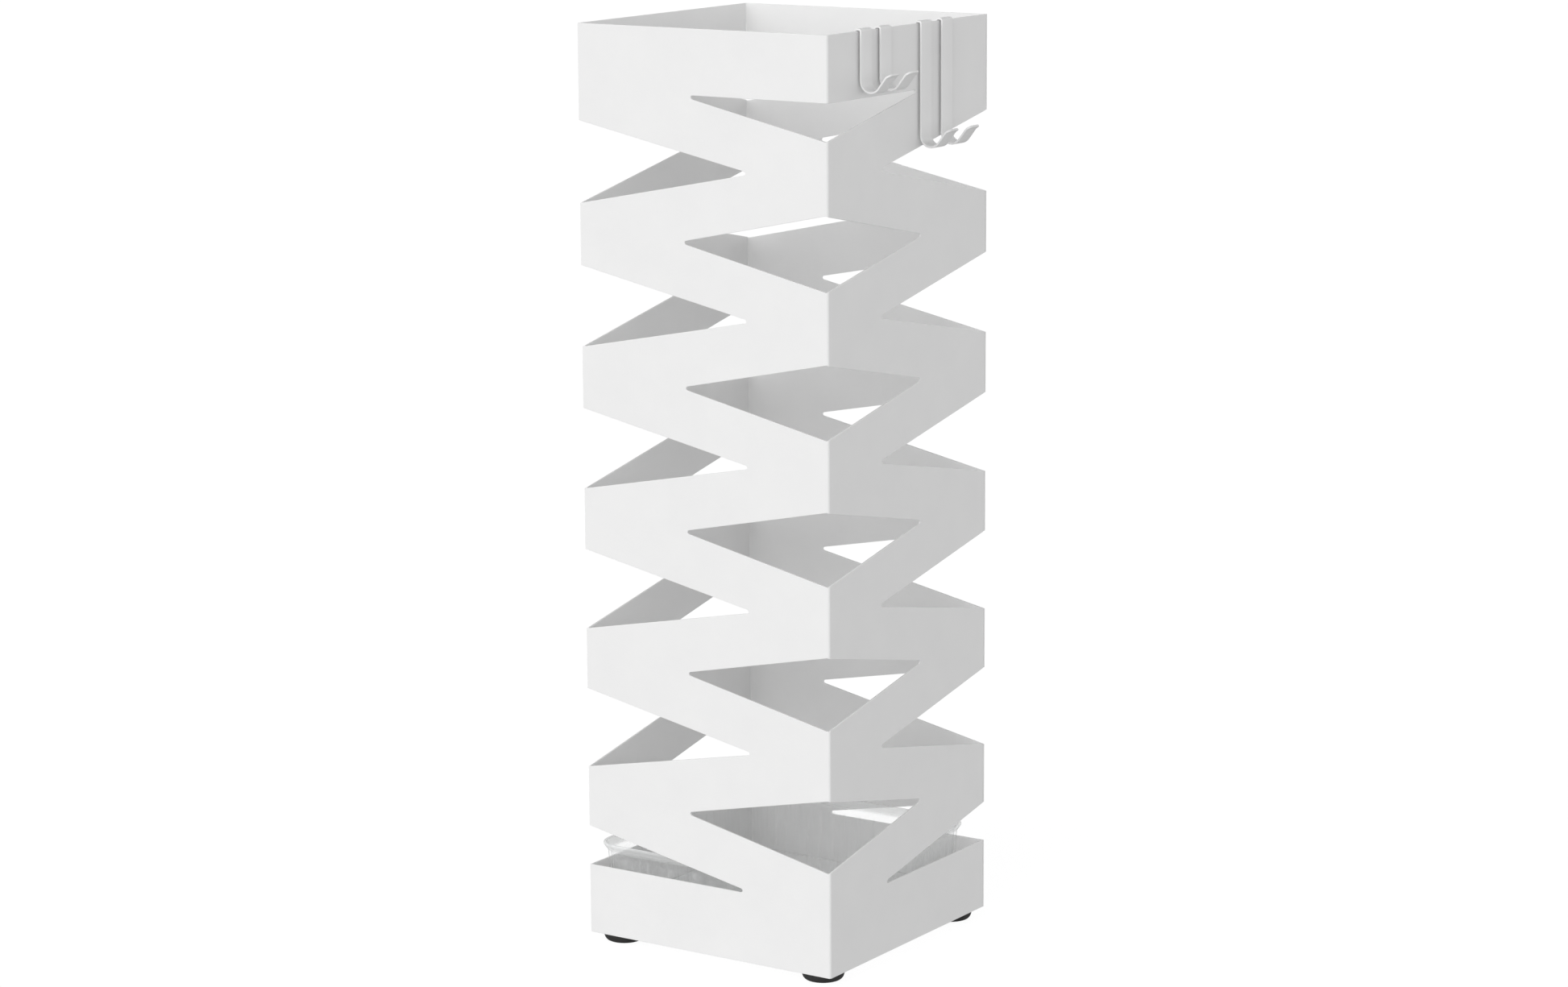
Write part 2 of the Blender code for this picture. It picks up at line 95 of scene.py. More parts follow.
# ---------------------------------------------------------------- finer detail
BEND_RADIUS = 0.0014         # outside radius of every fold, a little tighter than the CAD part's
EDGE_RADIUS = 0.00024        # coated edge of the cut sheet
EDGE_STEPS = 3
POINT_RADIUS = 0.0005        # points of the cut-outs where a corner crosses them
CORNER_STEPS = 5
BEND_STEPS = 14
BEND_SUPPORT = 0.0003        # extra edge just outside each bend
SHARP_ANGLE = math.radians(12.0)
BEAD_LEG = 0.0022            # weld beads in the seam corners
BEAD_RIPPLE = 0.0011
BEAD_SHARE = 0.62            # of the height of each strip
BEAD_SINK = 0.0003
TRAY_CORNER_STEPS = 36
TRAY_FLUTES = 5              # in each rounded corner
TRAY_FLUTE_DEPTH = 0.0004
TRAY_EDGE_RADIUS = 0.0006
HOOK_EDGE_RADIUS = 0.00015
HOOK_ARC_STEP = math.radians(5.0)
ROUND_STEPS = 64
SCREW_STEPS = 48
THREAD_PITCH = 0.0007
THREAD_DEPTH = 0.0002
CROSS_HALF_WIDTH = 0.0005
CROSS_LENGTH = 0.0021
CROSS_DEPTH = 0.0011
FOOT_SOFTNESS = 0.0003       # rounding of the rubber's edges
TRAY_FLOOR_STRIP = 0.006     # of the tray's floor, inside its standing ring
FLUTE_FADE = 0.14            # share of the wall over which the flutes rise from nothing

# ---------------------------------------------------------------- see-through look of the tray
TRAY_FILM = 0.05             # share of light that one surface of the tray stops, seen face on
TRAY_STREAKS = 0.20          # how much the flow lines add to it
TRAY_EDGE_FILM = 0.5         # how much is added where it is seen edge on
TRAY_RIM_FILM = 0.36         # and in the flared rim, whose curves bend grey light in
TRAY_EDGE_TINT = (0.5, 0.51, 0.51)
TRAY_RIM_FADE = 0.004        # height below the rim over which the flow lines fade out

# ---------------------------------------------------------------- places, from the CAD model
FRONT_LOW, FRONT_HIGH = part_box("shell_front")
BACK_LOW, BACK_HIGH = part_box("shell_back")
PAN_LOW, PAN_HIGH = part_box("base_pan")
TRAY_LOW, TRAY_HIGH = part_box("drip_tray")
SHELL_BOTTOM = FRONT_LOW.z
SHELL_HEIGHT = FRONT_HIGH.z - FRONT_LOW.z
SHELL_WIDTH = FRONT_HIGH.x - FRONT_LOW.x
SHELL_HALF = SHELL_WIDTH / 2
SHELL_AXIS = Vector(((FRONT_LOW.x + FRONT_HIGH.x) / 2, (FRONT_LOW.y + BACK_HIGH.y) / 2, 0.0))
PAN_HALF = (PAN_HIGH.x - PAN_LOW.x) / 2
TRAY_HALF = (TRAY_HIGH.x - TRAY_LOW.x) / 2
TRAY_AXIS = Vector(((TRAY_LOW.x + TRAY_HIGH.x) / 2, (TRAY_LOW.y + TRAY_HIGH.y) / 2, 0.0))
CORNERS = ("front", "right", "back", "left")
HOOKS = ("hook_short_1", "hook_short_2", "hook_long_1", "hook_long_2")
HOOK_LOW, HOOK_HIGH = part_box(HOOKS[0])
HOOK_WIDTH = HOOK_HIGH.y - HOOK_LOW.y

# ---------------------------------------------------------------- camera and light
CAMERA_PLACE = (1.174782, -1.772909, 0.660181)
CAMERA_PITCH = 0.19489775
CAMERA_ROLL = -0.00567721
CAMERA_TURN = -0.58971039
CAMERA_LENS = 94.249
SENSOR_WIDTH = 36.0
KEY_STRENGTH = 1.33
KEY_ANGLE = math.radians(60.0)
KEY_HEIGHT = math.radians(33.0)  # above the horizon
KEY_SIDE = math.radians(3.0)  # from -Y towards -X
SKY_LIGHT = 1.08             # of the brightest band
SKY_BANDS = (                # sine of the height above the horizon, share of that light
    (-1.0, 0.35),
    (-0.25, 0.35),
    (-0.05, 0.8),
    (0.0, 1.0),
    (0.35, 1.0),
    (0.65, 0.15),
    (1.0, 0.12),
)
SKY_SEEN = 1.08              # by the camera, just over white
FLOOR_HALF = 30.0
FLOOR_MILKINESS = 0.12       # share of light that the floor stops


# ---------------------------------------------------------------- outlines
def arc(centre, radius, start, end, steps):
    """Points on an arc, both ends included."""
    points = []
    for step in range(steps + 1):
        angle = start + (end - start) * step / steps
        points.append(centre + radius * Vector((math.cos(angle), math.sin(angle))))
    return points


def rounded_corner(before, corner, after, radius, steps):
    """Points of the arc that rounds one corner of an outline."""
    if radius == 0.0:
        return [corner]
    back = (before - corner).normalized()
    ahead = (after - corner).normalized()
    half_angle = back.angle(ahead) / 2
    reach = radius / math.tan(half_angle)
    centre = corner + (back + ahead).normalized() * radius / math.sin(half_angle)
    first = corner + back * reach - centre
    last = corner + ahead * reach - centre
    start = math.atan2(first.y, first.x)
    return arc(centre, radius, start, start - first.angle_signed(last), steps)


def rounded_outline(corners, steps=CORNER_STEPS):
    """Closed outline from (x, y, radius) corners."""
    points = []
    places = [Vector(corner[:2]) for corner in corners]
    for index, corner in enumerate(corners):
        after = places[(index + 1) % len(places)]
        points += rounded_corner(places[index - 1], places[index], after, corner[2], steps)
    return points


def rounded_path(corners, steps):
    """Open path from (x, y, radius) corners; its ends stay where they are."""
    places = [Vector(corner[:2]) for corner in corners]
    points = [places[0]]
    for index in range(1, len(corners) - 1):
        before, corner, after = places[index - 1:index + 2]
        points += rounded_corner(before, corner, after, corners[index][2], steps)
    points.append(places[-1])
    return points


def signed_area(points):
    """Positive for an outline that runs anticlockwise."""
    total = 0.0
    for index, point in enumerate(points):
        total += points[index - 1].cross(point)
    return total / 2


def turned(points, way):
    """The outline, run anticlockwise for way 1 and clockwise for way -1."""
    return points if signed_area(points) * way > 0 else points[::-1]


def moved_left(points, distance):
    """Closed outline moved to the left of its own way round."""
    moved = []
    for index, point in enumerate(points):
        arriving = (point - points[index - 1]).normalized()
        leaving = (points[(index + 1) % len(points)] - point).normalized()
        left_before = Vector((-arriving.y, arriving.x))
        left_after = Vector((-leaving.y, leaving.x))
        share = distance / (1 + left_before.dot(left_after))
        moved.append(point + share * (left_before + left_after))
    return moved


# ---------------------------------------------------------------- meshes
def add_piece(name, bm, material, body, replaced=(), sharp=SHARP_ANGLE):
    """Turn a bmesh into a named piece that rides on a body and stands for CAD nodes."""
    bmesh.ops.recalc_face_normals(bm, faces=bm.faces[:])
    mesh = bpy.data.meshes.new(name)
    bm.to_mesh(mesh)
    bm.free()
    mesh.shade_smooth()
    mesh.set_sharp_from_angle(angle=sharp)
    mesh.materials.append(material)
    piece = bpy.data.objects.new(name, mesh)
    bpy.context.scene.collection.objects.link(piece)
    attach(piece, body)
    if replaced:
        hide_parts(*replaced)
    return piece


def loft_into(bm, rings, closed=False):
    """Join rings of equal length; a closed loft joins the last to the first, others get end caps."""
    levels = [[bm.verts.new(point) for point in ring] for ring in rings]
    pairs = list(zip(levels, levels[1:]))
    if closed:
        pairs.append((levels[-1], levels[0]))
    else:
        bm.faces.new(levels[0])
        bm.faces.new(levels[-1])
    for lower, upper in pairs:
        for index in range(len(lower)):
            bm.faces.new((lower[index - 1], lower[index], upper[index], upper[index - 1]))


def circle(radius, steps, height):
    """Ring of points round the Z axis."""
    ring = []
    for step in range(steps):
        angle = 2 * math.pi * step / steps
        ring.append(Vector((radius * math.cos(angle), radius * math.sin(angle), height)))
    return ring


def polar_ring(radius_at, steps, height):
    """Ring of points whose radius is a function of the angle."""
    ring = []
    for step in range(steps):
        angle = 2 * math.pi * step / steps
        radius = radius_at(angle)
        ring.append(Vector((radius * math.cos(angle), radius * math.sin(angle), height)))
    return ring


def shifted(bm, offset):
    """Move everything in a bmesh."""
    bmesh.ops.translate(bm, verts=bm.verts[:], vec=offset)
    return bm


# ---------------------------------------------------------------- folded sheet
def edge_profile():
    """(inset, depth) steps round a cut edge of the sheet, from the outside face to the inside."""
    levels = []
    for step in range(EDGE_STEPS + 1):
        angle = step / EDGE_STEPS * math.pi / 2
        levels.append((EDGE_RADIUS * (1 - math.sin(angle)), EDGE_RADIUS * (1 - math.cos(angle))))
    return levels + [(inset, SHEET - depth) for inset, depth in reversed(levels)]


def add_level(bm, outlines, inset, depth):
    """One loop of points for each outline, at one level of the rounded edge."""
    loops = []
    for outline in outlines:
        loops.append([bm.verts.new((point.x, point.y, depth)) for point in moved_left(outline, inset)])
    return loops


def fill_level(bm, loops):
    """Close one face of the sheet between its loops."""
    edges = []
    for loop in loops:
        for index, vert in enumerate(loop):
            edges.append(bm.edges.new((loop[index - 1], vert)))
    bmesh.ops.triangle_fill(bm, edges=edges, use_beauty=True, use_dissolve=False)


def cut_sheet(border, holes, cuts):
    """Flat sheet with rounded cut edges, and with extra edges across it at (axis, position) cuts.

    The outside face lies at z = 0 and the inside face at z = SHEET.
    """
    outlines = [turned(border, 1)] + [turned(hole, -1) for hole in holes]
    bm = bmesh.new()
    levels = [add_level(bm, outlines, inset, depth) for inset, depth in edge_profile()]
    fill_level(bm, levels[0])
    fill_level(bm, levels[-1])
    for lower, upper in zip(levels, levels[1:]):
        for low_loop, high_loop in zip(lower, upper):
            for index in range(len(low_loop)):
                corners = (low_loop[index - 1], low_loop[index], high_loop[index], high_loop[index - 1])
                bm.faces.new(corners)
    for axis, position in cuts:
        normal = Vector((0.0, 0.0, 0.0))
        normal[axis] = 1.0
        bmesh.ops.bisect_plane(
            bm,
            geom=bm.verts[:] + bm.edges[:] + bm.faces[:],
            dist=1e-7,
            plane_co=normal * position,
            plane_no=normal,
        )
    return bm


def bend_positions(corner):
    """Positions across one fold, with one more on each side to keep the flat faces flat."""
    positions = [corner - BEND_RADIUS - BEND_SUPPORT, corner + BEND_RADIUS + BEND_SUPPORT]
    for step in range(BEND_STEPS + 1):
        positions.append(corner - BEND_RADIUS + 2 * BEND_RADIUS * step / BEND_STEPS)
    return positions


def fold(along, depth, corner):
    """Fold the flat position 'along' at a corner, as in the CAD part.

    Returns (distance along the first wall, distance up the second wall) of a point that lies
    'depth' inside the sheet.
    """
    overshoot = along - corner
    if overshoot <= -BEND_RADIUS:
        return along, depth
    if overshoot >= BEND_RADIUS:
        return corner - depth, overshoot
    angle = (overshoot + BEND_RADIUS) / (2 * BEND_RADIUS) * math.pi / 2
    radius = BEND_RADIUS - depth
    return corner - BEND_RADIUS + radius * math.sin(angle), BEND_RADIUS - radius * math.cos(angle)


# ---------------------------------------------------------------- shell
def fold_lozenges():
    """Cut-outs round the folded corner. The top one is the lower half only."""
    outlines = []
    middle = -BEND_RADIUS
    for number in range(1, LOZENGES + 1):
        height = PITCH * number
        corners = [
            (-FOLD_REACH, height, TIP_RADIUS),
            (middle, height - FOLD_HALF_HEIGHT, POINT_RADIUS),
            (FOLD_REACH, height, TIP_RADIUS),
        ]
        if number < LOZENGES:
            corners.append((middle, height + FOLD_HALF_HEIGHT, POINT_RADIUS))
        outlines.append(rounded_outline(corners))
    return outlines


def seam_notches(edge, corner, inward):
    """Corners of the notches along one free edge, from the foot upwards.

    'edge' is the sheet's free edge and 'corner' the shell's seam corner in the pattern;
    'inward' is +1 or -1, the way from the corner into the wall. The lowest notch is the
    upper half only.
    """
    slope = SEAM_HALF_HEIGHT / SEAM_REACH
    half_height = SEAM_HALF_HEIGHT - slope * abs(edge - corner)
    tip = corner + inward * SEAM_REACH
    corners = []
    for number in range(LOZENGES):
        height = PITCH * (number + 0.5)
        lower = height if number == 0 else height - half_height
        corners.append((edge, lower, 0.0))
        corners.append((tip, height, TIP_RADIUS))
        corners.append((edge, height + half_height, 0.0))
    return corners


def shell_half(turn):
    """One half of the shell: two walls of one sheet, folded where they meet."""
    left_edge = -SHELL_WIDTH
    right_edge = SHELL_WIDTH - SHEET - GAP
    left = seam_notches(left_edge, -SHELL_WIDTH, 1)
    right = seam_notches(right_edge, SHELL_WIDTH, -1)
    border = [(left_edge, 0.0, 0.0), (right_edge, 0.0, 0.0)]
    border += right
    border += [(right_edge, SHELL_HEIGHT, 0.0), (left_edge, SHELL_HEIGHT, 0.0)]
    border += left[::-1]
    cuts = [(0, position) for position in bend_positions(0.0)]
    bm = cut_sheet(rounded_outline(border), fold_lozenges(), cuts)
    for vert in bm.verts:
        along, height, depth = vert.co
        across, into = fold(along, depth, 0.0)
        vert.co = (SHELL_HALF + across, into - SHELL_HALF, height)
    bmesh.ops.rotate(bm, verts=bm.verts[:], matrix=Matrix.Rotation(turn, 3, "Z"))
    return shifted(bm, SHELL_AXIS + Vector((0.0, 0.0, SHELL_BOTTOM)))


def strip_heights():
    """(lowest, highest) of each strip between the notches at a seam corner, above the foot."""
    heights = [(0.0, PITCH / 2)]
    for number in range(1, LOZENGES):
        middle = PITCH * number
        half = PITCH / 2 - SEAM_HALF_HEIGHT
        heights.append((middle - half, middle + half))
    heights.append((PITCH * (LOZENGES - 0.5) + SEAM_HALF_HEIGHT, SHELL_HEIGHT))
    return heights


def bead_rings(low, high):
    """Rings of one rippled weld bead in the corner whose walls run along +X and +Y."""
    rings = []
    steps = round((high - low) / BEAD_RIPPLE * 6)
    for step in range(steps + 1):
        share = step / steps
        from_end = min(share, 1 - share) * (high - low)
        rounding = min(from_end / BEAD_LEG, 1.0)
        taper = math.sqrt(max(1 - (1 - rounding) ** 2, 0.03))
        ripple = 0.94 + 0.06 * math.cos(2 * math.pi * step / 6)
        leg = BEAD_LEG * taper * ripple
        height = low + (high - low) * share
        ring = [Vector((-BEAD_SINK, -BEAD_SINK, height))]
        for side in range(9):
            angle = math.pi / 2 * side / 8
            crown = leg * (0.86 + 0.14 * math.sin(2 * angle))
            x = crown * math.cos(angle) ** 1.15
            y = crown * math.sin(angle) ** 1.15 if side else 0.0
            if side == 0:
                ring.append(Vector((x, -BEAD_SINK, height)))
            ring.append(Vector((x, y, height)))
            if side == 8:
                ring.append(Vector((-BEAD_SINK, y, height)))
        rings.append(ring)
    return rings


def seam_beads(turn):
    """All the beads of one seam corner; at turn 0 the corner is at -X -Y."""
    bm = bmesh.new()
    for low, high in strip_heights():
        middle = (low + high) / 2
        half = (high - low) / 2 * BEAD_SHARE
        loft_into(bm, bead_rings(middle - half, middle + half))
    inner = -SHELL_HALF + SHEET
    shifted(bm, Vector((inner, inner, SHELL_BOTTOM)))
    bmesh.ops.rotate(bm, verts=bm.verts[:], matrix=Matrix.Rotation(turn, 3, "Z"))
    return shifted(bm, SHELL_AXIS)


def add_shell(paint):
    """Both halves of the shell and the welds that join them."""
    add_piece("shell_half_front", shell_half(0.0), paint, "stand", ["shell_front"])
    add_piece("shell_half_back", shell_half(math.pi), paint, "stand", ["shell_back"])
    smooth = math.radians(50.0)
    add_piece("seam_beads_left", seam_beads(0.0), paint, "stand", sharp=smooth)
    add_piece("seam_beads_right", seam_beads(math.pi), paint, "stand", sharp=smooth)


# ---------------------------------------------------------------- base pan
def pan_outline():
    """Flat cross of the pan: the floor and four flanges, with the corners cut away."""
    inner = PAN_HALF - BEND_RADIUS - PAN_RELIEF
    outer = PAN_HALF + PAN_FLANGE
    arm = [(inner, -inner, 0.0), (outer, -inner, PAN_CORNER_RADIUS), (outer, inner, PAN_CORNER_RADIUS)]
    corners = []
    for quarter in range(4):
        cosine = (1, 0, -1, 0)[quarter]
        sine = (0, 1, 0, -1)[quarter]
        for x, y, radius in arm:
            corners.append((x * cosine - y * sine, x * sine + y * cosine, radius))
    return rounded_outline(corners)


def screw_holes():
    """Hole outlines for the foot screws, on the pan's own middle."""
    holes = []
    for corner in CORNERS:
        place = box_middle(f"foot_{corner}") - SHELL_AXIS
        holes.append([place.xy + point.xy for point in circle(SCREW_HOLE_RADIUS, 32, 0.0)])
    return holes


def box_middle(node):
    """Middle of a CAD node's box."""
    low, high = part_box(node)
    return (low + high) / 2


def add_pan(paint):
    """Base pan, folded up on all four sides."""
    cuts = []
    for axis in (0, 1):
        for position in bend_positions(PAN_HALF):
            cuts += [(axis, position), (axis, -position)]
    bm = cut_sheet(pan_outline(), screw_holes(), cuts)
    flat_limit = PAN_HALF - BEND_RADIUS
    for vert in bm.verts:
        depth = vert.co.z
        for axis in (0, 1):
            along = vert.co[axis]
            if abs(along) > flat_limit:
                across, up = fold(abs(along), depth, PAN_HALF)
                vert.co[axis] = math.copysign(across, along)
                vert.co.z = up
    shifted(bm, SHELL_AXIS + Vector((0.0, 0.0, PAN_LOW.z)))
    add_piece("pan_sheet", bm, paint, "stand", ["base_pan"])


# ---------------------------------------------------------------- feet
def foot_bm(height, radius):
    """Domed rubber foot, widest under the pan, with a recess for the screw head."""
    soft = FOOT_SOFTNESS
    dome_height = height - FOOT_EDGE
    dome_depth = radius - FOOT_CONTACT_RADIUS
    profile = [
        (SCREW_HOLE_RADIUS, height),
        (SCREW_HOLE_RADIUS, RECESS_DEPTH),
        (RECESS_RADIUS, RECESS_DEPTH),
        (RECESS_RADIUS, soft),
        (RECESS_RADIUS + soft * 0.3, soft * 0.3),
        (RECESS_RADIUS + soft, 0.0),
    ]
    dome_steps = 14
    for step in range(dome_steps + 1):
        angle = step / dome_steps * math.pi / 2
        out = FOOT_CONTACT_RADIUS + dome_depth * math.sin(angle)
        profile.append((out, dome_height * (1 - math.cos(angle))))
    profile += [(radius, height - soft), (radius - soft * 0.3, height - soft * 0.3), (radius - soft, height)]
    bm = bmesh.new()
    loft_into(bm, [circle(out, ROUND_STEPS, up) for out, up in profile], closed=True)
    return bm


def cross_radius(half_width, length):
    """Radius of a cross recess as a function of the angle."""
    def radius_at(angle):
        nearest = abs((angle + math.pi / 4) % (math.pi / 2) - math.pi / 4)
        along_arm = length / math.cos(nearest)
        beside_arm = half_width / max(math.sin(nearest), 1e-6)
        floor = half_width * 1.7
        return max(min(along_arm, beside_arm), floor)
    return radius_at


def screw_bm(length):
    """Pan-head screw standing on its head, with a cross recess and a rolled thread."""
    head = SCREW_HEAD_RADIUS
    rings = [
        polar_ring(cross_radius(CROSS_HALF_WIDTH * 0.5, CROSS_LENGTH * 0.45), SCREW_STEPS, CROSS_DEPTH),
        polar_ring(cross_radius(CROSS_HALF_WIDTH, CROSS_LENGTH), SCREW_STEPS, 0.00005),
        polar_ring(cross_radius(CROSS_HALF_WIDTH * 1.1, CROSS_LENGTH * 1.04), SCREW_STEPS, 0.0),
        circle(head * 0.68, SCREW_STEPS, 0.0),
    ]
    for step in range(1, 7):
        angle = step / 6 * math.pi / 2
        out = head * (0.68 + 0.32 * math.sin(angle))
        rings.append(circle(out, SCREW_STEPS, SCREW_HEAD_HEIGHT * 0.62 * (1 - math.cos(angle))))
    rings.append(circle(head, SCREW_STEPS, SCREW_HEAD_HEIGHT - 0.0001))
    rings.append(circle(head - 0.0001, SCREW_STEPS, SCREW_HEAD_HEIGHT))
    rings.append(circle(SCREW_RADIUS - THREAD_DEPTH, SCREW_STEPS, SCREW_HEAD_HEIGHT))
    turns = (length - SCREW_HEAD_HEIGHT) / THREAD_PITCH
    steps = round(turns * 8)
    for step in range(1, steps + 1):
        height = SCREW_HEAD_HEIGHT + (length - SCREW_HEAD_HEIGHT) * step / steps
        fade = min(1.0, (steps - step) / 6)
        rings.append(polar_ring(thread_radius(height, fade), SCREW_STEPS, height))
    bm = bmesh.new()
    loft_into(bm, rings)
    return bm


def thread_radius(height, fade):
    """Radius of the thread round the screw at one height."""
    def radius_at(angle):
        phase = (height / THREAD_PITCH - angle / (2 * math.pi)) % 1.0
        crest = 1 - abs(phase * 2 - 1)
        return SCREW_RADIUS - THREAD_DEPTH + THREAD_DEPTH * crest * fade
    return radius_at


def hexagon_radius(flat, limit):
    """Radius of a hexagon whose corners are turned down to a circle."""
    def radius_at(angle):
        from_flat = (angle + math.pi / 6) % (math.pi / 3) - math.pi / 6
        return min(flat / math.cos(from_flat), limit)
    return radius_at


def nut_bm(height):
    """Hexagon nut with turned-down corners and a chamfered hole."""
    corner = NUT_FLAT / math.cos(math.pi / 6)
    drop = height * 0.16
    rings = [
        circle(SCREW_HOLE_RADIUS - 0.0002, SCREW_STEPS, drop),
        circle(SCREW_HOLE_RADIUS + 0.0001, SCREW_STEPS, 0.0),
        circle(NUT_FLAT * 0.97, SCREW_STEPS, 0.0),
        polar_ring(hexagon_radius(NUT_FLAT, (NUT_FLAT + corner) / 2), SCREW_STEPS, drop * 0.5),
        polar_ring(hexagon_radius(NUT_FLAT, corner), SCREW_STEPS, drop),
        polar_ring(hexagon_radius(NUT_FLAT, corner), SCREW_STEPS, height - drop),
        polar_ring(hexagon_radius(NUT_FLAT, (NUT_FLAT + corner) / 2), SCREW_STEPS, height - drop * 0.5),
        circle(NUT_FLAT * 0.97, SCREW_STEPS, height),
        circle(SCREW_HOLE_RADIUS + 0.0001, SCREW_STEPS, height),
        circle(SCREW_HOLE_RADIUS - 0.0002, SCREW_STEPS, height - drop),
    ]
    bm = bmesh.new()
    loft_into(bm, rings, closed=True)
    return bm


def add_feet(rubber, zinc_screw, zinc_nut):
    """A foot, a screw and a nut near each corner of the pan."""
    kinds = (
        ("foot", "pad", rubber, "foot_rubber", math.radians(40.0)),
        ("foot_screw", "screw", zinc_screw, "screw_zinc", math.radians(35.0)),
        ("foot_nut", "nut", zinc_nut, "nut_zinc", math.radians(20.0)),
    )
    for corner in CORNERS:
        for kind, name, material, slot, sharp in kinds:
            node = f"{kind}_{corner}"
            low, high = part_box(node)
            middle = (low + high) / 2
            height = high.z - low.z
            if kind == "foot":
                bm = foot_bm(height, (high.x - low.x) / 2)
            elif kind == "foot_screw":
                bm = screw_bm(height)
            else:
                bm = nut_bm(height)
            shifted(bm, Vector((middle.x, middle.y, low.z)))
            add_piece(f"{name}_{corner}", bm, material, "stand", [node], sharp)


# ---------------------------------------------------------------- drip tray
def tray_profile():
    """(half width, height) path from the floor's underside, round the wall, to the floor's top."""
    top = TRAY_HIGH.z - TRAY_LOW.z
    shoulder = top - TRAY_RIM_HEIGHT
    wall_half = TRAY_HALF - TRAY_STEP_OUT
    foot_half = wall_half - (shoulder - TRAY_FLOOR_RAISE) * math.tan(TRAY_DRAFT)
    ring_half = TRAY_RING_WIDTH / 2
    inner_half = ring_half - TRAY_WALL - TRAY_FLOOR_STRIP
    floor_top = TRAY_FLOOR_RAISE + TRAY_FLOOR
    tilt = math.atan(TRAY_STEP_OUT / TRAY_FLARE_HEIGHT)
    inner_shoulder = shoulder + TRAY_WALL * math.tan(tilt / 2)
    lip = TRAY_WALL * 0.45
    return [
        (inner_half, TRAY_FLOOR_RAISE, 0.0),
        (ring_half - TRAY_WALL, TRAY_FLOOR_RAISE, TRAY_EDGE_RADIUS),
        (ring_half - TRAY_WALL, 0.0, TRAY_EDGE_RADIUS),
        (ring_half, 0.0, TRAY_EDGE_RADIUS),
        (ring_half, TRAY_FLOOR_RAISE, TRAY_EDGE_RADIUS),
        (foot_half, TRAY_FLOOR_RAISE, TRAY_FILLET),
        (wall_half, shoulder, 0.001),
        (TRAY_HALF, shoulder + TRAY_FLARE_HEIGHT, 0.0008),
        (TRAY_HALF, top, lip),
        (TRAY_HALF - TRAY_WALL, top, lip),
        (TRAY_HALF - TRAY_WALL, inner_shoulder + TRAY_FLARE_HEIGHT, 0.0008),
        (wall_half - TRAY_WALL, inner_shoulder, 0.001),
        (foot_half - TRAY_WALL, floor_top, TRAY_FILLET - TRAY_WALL),
        (inner_half, floor_top, 0.0),
    ]


def with_wall_levels(path, low, high, levels):
    """Add points along the two long drafted walls, so that the flutes can fade in and out."""
    points = []
    for index, point in enumerate(path):
        before = path[index - 1]
        if index and abs(point.y - before.y) > (high - low) * 0.6:
            for level in range(1, levels):
                points.append(before.lerp(point, level / levels))
        points.append(point)
    return points


def flute_share(height, low, high):
    """0 at the ends of the wall and 1 along it."""
    share = (height - low) / (high - low)
    rise = min(max(min(share, 1 - share) / FLUTE_FADE, 0.0), 1.0)
    return rise * rise * (3 - 2 * rise)


def tray_ring(half, corner, height, flute):
    """Square ring with round corners, whose corners are fluted inwards."""
    ring = []
    for quarter in range(4):
        start = quarter * math.pi / 2
        sign_x = (1, -1, -1, 1)[quarter]
        sign_y = (1, 1, -1, -1)[quarter]
        centre = Vector((sign_x * (half - corner), sign_y * (half - corner)))
        for step in range(TRAY_CORNER_STEPS + 1):
            share = step / TRAY_CORNER_STEPS
            angle = start + share * math.pi / 2
            dent = flute * (1 - math.cos(2 * math.pi * TRAY_FLUTES * share)) / 2
            radius = corner - dent
            x = centre.x + radius * math.cos(angle)
            y = centre.y + radius * math.sin(angle)
            ring.append(Vector((x, y, height)))
    return ring


def add_tray(plastic):
    """Loose clear tray: standing ring, raised floor, drafted fluted walls and a flared rim.

    Light on its way to other pieces passes it freely, as clear plastic would let it.
    """
    low = TRAY_FLOOR_RAISE + TRAY_FILLET
    high = TRAY_HIGH.z - TRAY_LOW.z - TRAY_RIM_HEIGHT
    path = rounded_path(tray_profile(), 6)
    path = with_wall_levels(path, low, high, 12)
    rings = []
    for half, height in path:
        corner = TRAY_CORNER - (TRAY_HALF - half)
        if half < TRAY_RING_WIDTH / 2 + 0.001:
            corner = max(TRAY_RING_CORNER - (TRAY_RING_WIDTH / 2 - half), 0.002)
        flute = TRAY_FLUTE_DEPTH * flute_share(height, low, high)
        if half < TRAY_RING_WIDTH / 2 + 0.001:
            flute = 0.0
        rings.append(tray_ring(half, corner, height, flute))
    bm = bmesh.new()
    loft_into(bm, rings)
    shifted(bm, TRAY_AXIS + Vector((0.0, 0.0, TRAY_LOW.z)))
    tray = add_piece("tray_clear", bm, plastic, "tray", ["drip_tray"], math.radians(30.0))
    tray.visible_shadow = False
    tray.visible_diffuse = False


# ---------------------------------------------------------------- hooks
def walk(start, heading, moves):
    """Centre line from (length, turn) moves: a straight move turns 0, an arc turns left if positive."""
    point = Vector(start)
    stations = [(point.copy(), heading)]
    for length, turn in moves:
        steps = max(1, math.ceil(abs(turn) / HOOK_ARC_STEP - 1e-6))
        chord = length / steps
        if turn:
            chord *= math.sin(turn / steps / 2) / (turn / steps / 2)
        for _ in range(steps):
            heading += turn / steps / 2
            point = point + chord * Vector((math.cos(heading), math.sin(heading)))
            heading += turn / steps / 2
            stations.append((point.copy(), heading))
    return stations


